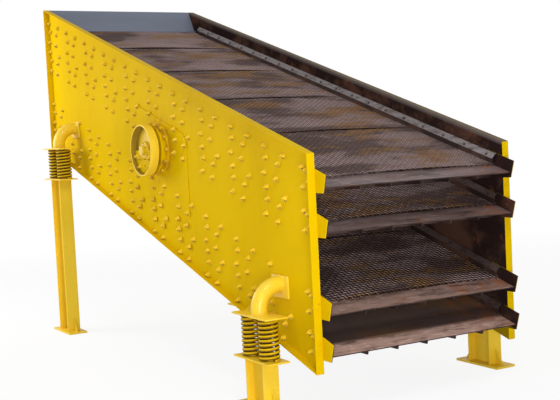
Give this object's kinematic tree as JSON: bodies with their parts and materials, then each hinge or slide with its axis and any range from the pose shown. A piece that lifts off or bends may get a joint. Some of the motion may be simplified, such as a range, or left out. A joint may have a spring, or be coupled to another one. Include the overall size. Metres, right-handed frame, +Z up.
{
  "type": "vibrating screen",
  "caption": "Inclined circular-motion vibrating screen: woven mesh decks between yellow side plates, carried on coil springs and short H-section legs.",
  "frame": {"origin": "centre of the bounding box, on the ground under the base plates", "axes": "+X along the machine to the discharge end, +Y across the decks to the right side seen from the discharge end, +Z up"},
  "size_m": [5.8824, 2.49, 3.7232],
  "materials": {
    "yellow_paint": "gloss enamel over steel",
    "dark_steel": "dark primer, rusty",
    "wire_mesh": "woven spring steel, rusty",
    "rail_steel": "dull grey, worn",
    "lip_steel": "bare plate, rusting",
    "feed_plate_steel": "blue grey primer",
    "bearing_steel": "ground steel"
  },
  "bodies": {
    "stand_body": {"leg_discharge_left": "yellow_paint", "leg_discharge_right": "yellow_paint", "leg_feed_left": "yellow_paint", "leg_feed_right": "yellow_paint", "springs_discharge_left": "yellow_paint", "springs_discharge_right": "yellow_paint", "springs_feed_left": "yellow_paint", "springs_feed_right": "yellow_paint"},
    "box_body": {"spring_bracket_discharge_left": "yellow_paint", "spring_bracket_discharge_right": "yellow_paint", "spring_bracket_feed_left": "yellow_paint", "spring_bracket_feed_right": "yellow_paint", "side_plate_left": "yellow_paint", "exciter_doubler_left": "yellow_paint", "discharge_cheeks_left": "dark_steel", "bearing_housing_left": "yellow_paint", "bearing_cover_left": "yellow_paint", "housing_bolts_left": "yellow_paint", "bearing_outer_ring_left": "bearing_steel", "side_plate_right": "yellow_paint", "exciter_doubler_right": "yellow_paint", "discharge_cheeks_right": "dark_steel", "bearing_housing_right": "yellow_paint", "bearing_cover_right": "yellow_paint", "housing_bolts_right": "yellow_paint", "bearing_outer_ring_right": "bearing_steel", "cross_beams_deck_1": "dark_steel", "support_bars_deck_1": "dark_steel", "screen_mesh_deck_1": "wire_mesh", "clamp_rails_deck_1": "rail_steel", "discharge_lip_1": "lip_steel", "cross_beams_deck_2": "dark_steel", "support_bars_deck_2": "dark_steel", "screen_mesh_deck_2": "wire_mesh", "clamp_rails_deck_2": "rail_steel", "discharge_lip_2": "lip_steel", "cross_beams_deck_3": "dark_steel", "support_bars_deck_3": "dark_steel", "screen_mesh_deck_3": "wire_mesh", "clamp_rails_deck_3": "rail_steel", "discharge_lip_3": "lip_steel", "cross_beams_deck_4": "dark_steel", "support_bars_deck_4": "dark_steel", "screen_mesh_deck_4": "wire_mesh", "clamp_rails_deck_4": "rail_steel", "discharge_lip_4": "lip_steel", "feed_plate": "feed_plate_steel", "exciter_tube": "dark_steel"},
    "rotor_body": {"flywheel_left": "yellow_paint", "counterweight_left": "yellow_paint", "bearing_inner_ring_left": "bearing_steel", "bearing_rollers_left": "bearing_steel", "flywheel_right": "yellow_paint", "counterweight_right": "yellow_paint", "bearing_inner_ring_right": "bearing_steel", "bearing_rollers_right": "bearing_steel", "eccentric_shaft": "bearing_steel"}
  },
  "joints": [
    {"name": "box_bounce", "type": "slide", "parent": "stand_body", "child": "box_body", "axis": [0, 0, 1], "range_m": [-0.02, 0.02], "stiffness_N_per_m": 1563500, "springref_m": 0.04, "deforming": ["springs_discharge_left", "springs_discharge_right", "springs_feed_left", "springs_feed_right"]},
    {"name": "rotor_spin", "type": "hinge", "parent": "box_body", "child": "rotor_body", "pos_m": [0.0614, 0, 2.03852], "axis": [0, 1, 0], "continuous": true}
  ]
}
